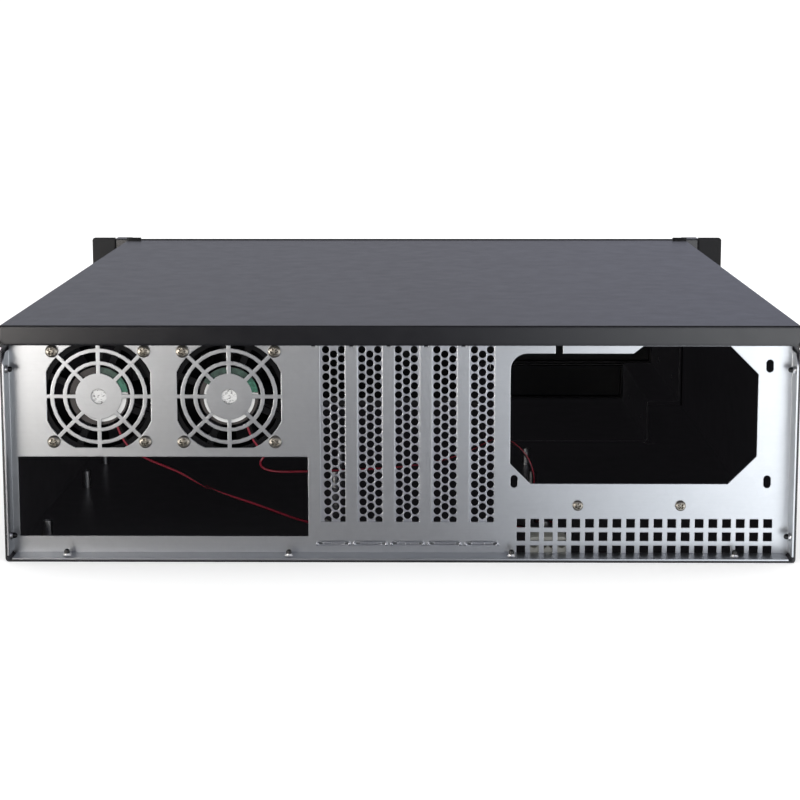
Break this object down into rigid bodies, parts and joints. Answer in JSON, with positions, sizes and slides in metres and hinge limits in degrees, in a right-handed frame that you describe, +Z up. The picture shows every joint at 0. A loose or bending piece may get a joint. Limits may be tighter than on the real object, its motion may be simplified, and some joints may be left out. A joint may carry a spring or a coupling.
{
  "type": "empty rackmount server case",
  "caption": "Short black rackmount server case, empty, with a galvanised rear panel, fans, perforated slot covers, a sliding lid, handles and drive bays.",
  "frame": {"origin": "middle of the footprint, on the plane that the case rests on", "axes": "+X to the right as seen from behind the case, +Y from the rear panel towards the front panel and its handles, +Z up"},
  "size_m": [0.4826, 0.5078, 0.1318],
  "materials": {
    "powder_coat": "fine-textured semi-gloss black powder coat",
    "handle_coat": "smooth satin black",
    "galvanised": "bright galvanised sheet steel",
    "galvanised_cover": "galvanised sheet steel",
    "bright_zinc": "bright zinc-plated steel",
    "black_zinc": "black zinc-plated steel",
    "fan_plastic": "moulded black plastic",
    "fan_blade": "moulded black plastic",
    "bay_plastic": "fine-textured black plastic",
    "button_plastic": "gloss black plastic",
    "lead": "red and black insulated leads",
    "white_nylon": "natural white nylon",
    "green_lens": "clear green",
    "amber_lens": "clear amber",
    "circuit_board": "black circuit board",
    "filter_foam": "open-cell dark foam"
  },
  "bodies": {
    "case": {"chassis_body": "powder_coat", "cover_screws": "black_zinc", "rear_panel": "galvanised", "slot_cover_1": "galvanised_cover", "slot_cover_2": "galvanised_cover", "slot_cover_3": "galvanised_cover", "slot_cover_4": "galvanised_cover", "slot_cover_5": "galvanised_cover", "fan_1_frame": "fan_plastic", "fan_2_frame": "fan_plastic", "fan_1_lead_outlet": "fan_plastic", "fan_2_lead_outlet": "fan_plastic", "fan_1_lead": "lead", "fan_2_lead": "lead", "fan_power_plug": "white_nylon", "fan_screws": "bright_zinc", "psu_shelf": "galvanised", "psu_shelf_screws": "bright_zinc", "board_standoffs": "bright_zinc", "drive_cage": "powder_coat", "front_panel": "powder_coat", "rack_ear_left": "powder_coat", "rack_ear_right": "powder_coat", "handle_left": "handle_coat", "handle_right": "handle_coat", "bay_cover_wide_1": "bay_plastic", "bay_cover_wide_2": "bay_plastic", "bay_cover_narrow": "bay_plastic", "button_switches": "fan_plastic", "power_lamp": "green_lens", "drive_lamp": "amber_lens", "control_board": "circuit_board", "front_filter": "filter_foam"},
    "lid": {"top_cover": "powder_coat"},
    "fan_1_impeller": {"fan_1_rotor": "fan_blade"},
    "fan_2_impeller": {"fan_2_rotor": "fan_blade"},
    "power_key": {"power_button": "button_plastic"},
    "reset_key": {"reset_button": "button_plastic"}
  },
  "joints": [
    {"name": "cover_slide", "type": "slide", "parent": "case", "child": "lid", "axis": [0, -1, 0], "range_m": [0, 0.018]},
    {"name": "fan_1_spin", "type": "hinge", "parent": "case", "child": "fan_1_impeller", "pos_m": [-0.1639, -0.22385, 0.0889], "axis": [0, 1, 0], "continuous": true},
    {"name": "fan_2_spin", "type": "hinge", "parent": "case", "child": "fan_2_impeller", "pos_m": [-0.0929, -0.22385, 0.0889], "axis": [0, 1, 0], "continuous": true},
    {"name": "power_press", "type": "slide", "parent": "case", "child": "power_key", "axis": [0, -1, 0], "range_m": [0, 0.0015], "stiffness_N_per_m": 600, "springref_m": -0.0005},
    {"name": "reset_press", "type": "slide", "parent": "case", "child": "reset_key", "axis": [0, -1, 0], "range_m": [0, 0.0015], "stiffness_N_per_m": 500, "springref_m": -0.0005}
  ]
}
